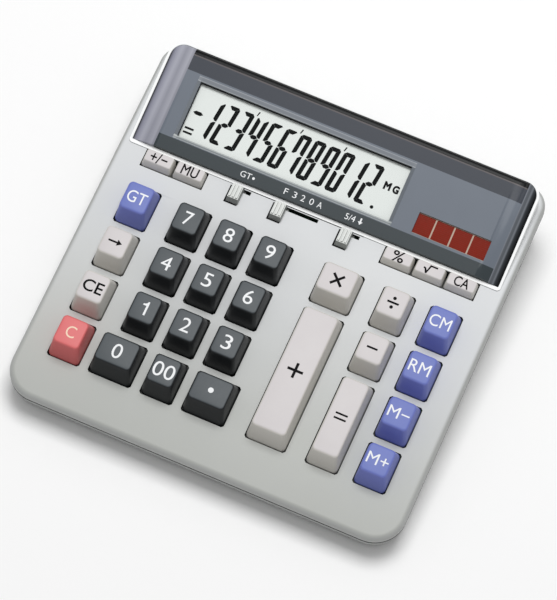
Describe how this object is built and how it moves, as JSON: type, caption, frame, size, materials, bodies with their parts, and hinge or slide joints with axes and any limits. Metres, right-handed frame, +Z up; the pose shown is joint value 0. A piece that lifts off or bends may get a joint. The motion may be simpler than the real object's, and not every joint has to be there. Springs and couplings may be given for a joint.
{
  "type": "desktop calculator",
  "caption": "Wedge-shaped desktop calculator with a sloping display cover, solar cell, pressable keys and slide switches in a screwed two-part housing.",
  "frame": {"origin": "centre of the bounding box's bottom, on the surface the feet rest on", "axes": "+X to the right and +Y to the back for someone who faces the keys, +Z up"},
  "size_m": [0.18, 0.1743, 0.0434],
  "materials": {
    "case": "fine moulded grain, satin",
    "cover": "polished",
    "window": "clear acrylic",
    "lcd": "satin polariser",
    "inner_plastic": "plain moulding",
    "ribbon": "flexible film",
    "solar": "amorphous silicon on glass",
    "copper": "bare strip",
    "board": "solder mask",
    "chip": "moulded epoxy",
    "mat": "silicone",
    "screw": "zinc plated",
    "foot": "moulded",
    "cell": "nickel plated",
    "spring_metal": "nickel plated",
    "number_key": "satin moulding",
    "light_key": "satin moulding",
    "memory_key": "satin moulding",
    "clear_key": "satin moulding"
  },
  "bodies": {
    "housing": {"upper_case": "case", "lower_case": "case", "display_cover": "cover", "display_window": "window", "lcd_panel": "lcd", "lcd_frame": "inner_plastic", "lcd_connector": "ribbon", "solar_cell": "solar", "solar_leads": "copper", "main_board": "board", "processor_chip": "chip", "key_mat": "mat", "board_screws": "screw", "case_screws": "screw", "rubber_feet": "foot", "button_cell": "cell", "battery_top_contact": "spring_metal", "battery_side_contact": "spring_metal", "battery_leads": "copper", "battery_cover": "case", "battery_cover_screw": "screw"},
    "key_zero": {"key_zero": "number_key"},
    "key_double_zero": {"key_double_zero": "number_key"},
    "key_point": {"key_point": "number_key"},
    "key_one": {"key_one": "number_key"},
    "key_two": {"key_two": "number_key"},
    "key_three": {"key_three": "number_key"},
    "key_four": {"key_four": "number_key"},
    "key_five": {"key_five": "number_key"},
    "key_six": {"key_six": "number_key"},
    "key_seven": {"key_seven": "number_key"},
    "key_eight": {"key_eight": "number_key"},
    "key_nine": {"key_nine": "number_key"},
    "key_backspace": {"key_backspace": "light_key"},
    "key_clear_entry": {"key_clear_entry": "light_key"},
    "key_multiply": {"key_multiply": "light_key"},
    "key_plus": {"key_plus": "light_key"},
    "key_divide": {"key_divide": "light_key"},
    "key_minus": {"key_minus": "light_key"},
    "key_equals": {"key_equals": "light_key"},
    "key_sign_change": {"key_sign_change": "light_key"},
    "key_mark_up": {"key_mark_up": "light_key"},
    "key_percent": {"key_percent": "light_key"},
    "key_root": {"key_root": "light_key"},
    "key_clear_all": {"key_clear_all": "light_key"},
    "key_grand_total": {"key_grand_total": "memory_key"},
    "key_memory_clear": {"key_memory_clear": "memory_key"},
    "key_memory_recall": {"key_memory_recall": "memory_key"},
    "key_memory_minus": {"key_memory_minus": "memory_key"},
    "key_memory_plus": {"key_memory_plus": "memory_key"},
    "key_clear": {"key_clear": "clear_key"},
    "total_switch": {"total_switch_knob": "light_key", "total_switch_wiper": "spring_metal"},
    "decimal_switch": {"decimal_switch_knob": "light_key", "decimal_switch_wiper": "spring_metal"},
    "rounding_switch": {"rounding_switch_knob": "light_key", "rounding_switch_wiper": "spring_metal"}
  },
  "joints": [
    {"name": "key_zero_press", "type": "slide", "parent": "housing", "child": "key_zero", "axis": [0, 0.1045, -0.9945], "range_m": [0, 0.002], "stiffness_N_per_m": 300, "springref_m": -0.0005, "deforming": ["key_mat"]},
    {"name": "key_double_zero_press", "type": "slide", "parent": "housing", "child": "key_double_zero", "axis": [0, 0.1045, -0.9945], "range_m": [0, 0.002], "stiffness_N_per_m": 300, "springref_m": -0.0005, "deforming": ["key_mat"]},
    {"name": "key_point_press", "type": "slide", "parent": "housing", "child": "key_point", "axis": [0, 0.1045, -0.9945], "range_m": [0, 0.002], "stiffness_N_per_m": 300, "springref_m": -0.0005, "deforming": ["key_mat"]},
    {"name": "key_one_press", "type": "slide", "parent": "housing", "child": "key_one", "axis": [0, 0.1045, -0.9945], "range_m": [0, 0.002], "stiffness_N_per_m": 300, "springref_m": -0.0005, "deforming": ["key_mat"]},
    {"name": "key_two_press", "type": "slide", "parent": "housing", "child": "key_two", "axis": [0, 0.1045, -0.9945], "range_m": [0, 0.002], "stiffness_N_per_m": 300, "springref_m": -0.0005, "deforming": ["key_mat"]},
    {"name": "key_three_press", "type": "slide", "parent": "housing", "child": "key_three", "axis": [0, 0.1045, -0.9945], "range_m": [0, 0.002], "stiffness_N_per_m": 300, "springref_m": -0.0005, "deforming": ["key_mat"]},
    {"name": "key_four_press", "type": "slide", "parent": "housing", "child": "key_four", "axis": [0, 0.1045, -0.9945], "range_m": [0, 0.002], "stiffness_N_per_m": 300, "springref_m": -0.0005, "deforming": ["key_mat"]},
    {"name": "key_five_press", "type": "slide", "parent": "housing", "child": "key_five", "axis": [0, 0.1045, -0.9945], "range_m": [0, 0.002], "stiffness_N_per_m": 300, "springref_m": -0.0005, "deforming": ["key_mat"]},
    {"name": "key_six_press", "type": "slide", "parent": "housing", "child": "key_six", "axis": [0, 0.1045, -0.9945], "range_m": [0, 0.002], "stiffness_N_per_m": 300, "springref_m": -0.0005, "deforming": ["key_mat"]},
    {"name": "key_seven_press", "type": "slide", "parent": "housing", "child": "key_seven", "axis": [0, 0.1045, -0.9945], "range_m": [0, 0.002], "stiffness_N_per_m": 300, "springref_m": -0.0005, "deforming": ["key_mat"]},
    {"name": "key_eight_press", "type": "slide", "parent": "housing", "child": "key_eight", "axis": [0, 0.1045, -0.9945], "range_m": [0, 0.002], "stiffness_N_per_m": 300, "springref_m": -0.0005, "deforming": ["key_mat"]},
    {"name": "key_nine_press", "type": "slide", "parent": "housing", "child": "key_nine", "axis": [0, 0.1045, -0.9945], "range_m": [0, 0.002], "stiffness_N_per_m": 300, "springref_m": -0.0005, "deforming": ["key_mat"]},
    {"name": "key_backspace_press", "type": "slide", "parent": "housing", "child": "key_backspace", "axis": [0, 0.1045, -0.9945], "range_m": [0, 0.002], "stiffness_N_per_m": 300, "springref_m": -0.0005, "deforming": ["key_mat"]},
    {"name": "key_clear_entry_press", "type": "slide", "parent": "housing", "child": "key_clear_entry", "axis": [0, 0.1045, -0.9945], "range_m": [0, 0.002], "stiffness_N_per_m": 300, "springref_m": -0.0005, "deforming": ["key_mat"]},
    {"name": "key_multiply_press", "type": "slide", "parent": "housing", "child": "key_multiply", "axis": [0, 0.1045, -0.9945], "range_m": [0, 0.002], "stiffness_N_per_m": 300, "springref_m": -0.0005, "deforming": ["key_mat"]},
    {"name": "key_plus_press", "type": "slide", "parent": "housing", "child": "key_plus", "axis": [0, 0.1045, -0.9945], "range_m": [0, 0.002], "stiffness_N_per_m": 300, "springref_m": -0.0005, "deforming": ["key_mat"]},
    {"name": "key_divide_press", "type": "slide", "parent": "housing", "child": "key_divide", "axis": [0, 0.1045, -0.9945], "range_m": [0, 0.002], "stiffness_N_per_m": 300, "springref_m": -0.0005, "deforming": ["key_mat"]},
    {"name": "key_minus_press", "type": "slide", "parent": "housing", "child": "key_minus", "axis": [0, 0.1045, -0.9945], "range_m": [0, 0.002], "stiffness_N_per_m": 300, "springref_m": -0.0005, "deforming": ["key_mat"]},
    {"name": "key_equals_press", "type": "slide", "parent": "housing", "child": "key_equals", "axis": [0, 0.1045, -0.9945], "range_m": [0, 0.002], "stiffness_N_per_m": 300, "springref_m": -0.0005, "deforming": ["key_mat"]},
    {"name": "key_sign_change_press", "type": "slide", "parent": "housing", "child": "key_sign_change", "axis": [0, 0.1045, -0.9945], "range_m": [0, 0.002], "stiffness_N_per_m": 300, "springref_m": -0.0005, "deforming": ["key_mat"]},
    {"name": "key_mark_up_press", "type": "slide", "parent": "housing", "child": "key_mark_up", "axis": [0, 0.1045, -0.9945], "range_m": [0, 0.002], "stiffness_N_per_m": 300, "springref_m": -0.0005, "deforming": ["key_mat"]},
    {"name": "key_percent_press", "type": "slide", "parent": "housing", "child": "key_percent", "axis": [0, 0.1045, -0.9945], "range_m": [0, 0.002], "stiffness_N_per_m": 300, "springref_m": -0.0005, "deforming": ["key_mat"]},
    {"name": "key_root_press", "type": "slide", "parent": "housing", "child": "key_root", "axis": [0, 0.1045, -0.9945], "range_m": [0, 0.002], "stiffness_N_per_m": 300, "springref_m": -0.0005, "deforming": ["key_mat"]},
    {"name": "key_clear_all_press", "type": "slide", "parent": "housing", "child": "key_clear_all", "axis": [0, 0.1045, -0.9945], "range_m": [0, 0.002], "stiffness_N_per_m": 300, "springref_m": -0.0005, "deforming": ["key_mat"]},
    {"name": "key_grand_total_press", "type": "slide", "parent": "housing", "child": "key_grand_total", "axis": [0, 0.1045, -0.9945], "range_m": [0, 0.002], "stiffness_N_per_m": 300, "springref_m": -0.0005, "deforming": ["key_mat"]},
    {"name": "key_memory_clear_press", "type": "slide", "parent": "housing", "child": "key_memory_clear", "axis": [0, 0.1045, -0.9945], "range_m": [0, 0.002], "stiffness_N_per_m": 300, "springref_m": -0.0005, "deforming": ["key_mat"]},
    {"name": "key_memory_recall_press", "type": "slide", "parent": "housing", "child": "key_memory_recall", "axis": [0, 0.1045, -0.9945], "range_m": [0, 0.002], "stiffness_N_per_m": 300, "springref_m": -0.0005, "deforming": ["key_mat"]},
    {"name": "key_memory_minus_press", "type": "slide", "parent": "housing", "child": "key_memory_minus", "axis": [0, 0.1045, -0.9945], "range_m": [0, 0.002], "stiffness_N_per_m": 300, "springref_m": -0.0005, "deforming": ["key_mat"]},
    {"name": "key_memory_plus_press", "type": "slide", "parent": "housing", "child": "key_memory_plus", "axis": [0, 0.1045, -0.9945], "range_m": [0, 0.002], "stiffness_N_per_m": 300, "springref_m": -0.0005, "deforming": ["key_mat"]},
    {"name": "key_clear_press", "type": "slide", "parent": "housing", "child": "key_clear", "axis": [0, 0.1045, -0.9945], "range_m": [0, 0.002], "stiffness_N_per_m": 300, "springref_m": -0.0005, "deforming": ["key_mat"]},
    {"name": "total_switch_slide", "type": "slide", "parent": "housing", "child": "total_switch", "axis": [1, 0, 0], "range_m": [0, 0.0042]},
    {"name": "decimal_switch_slide", "type": "slide", "parent": "housing", "child": "decimal_switch", "axis": [1, 0, 0], "range_m": [0, 0.0156]},
    {"name": "rounding_switch_slide", "type": "slide", "parent": "housing", "child": "rounding_switch", "axis": [1, 0, 0], "range_m": [0, 0.0042]}
  ]
}
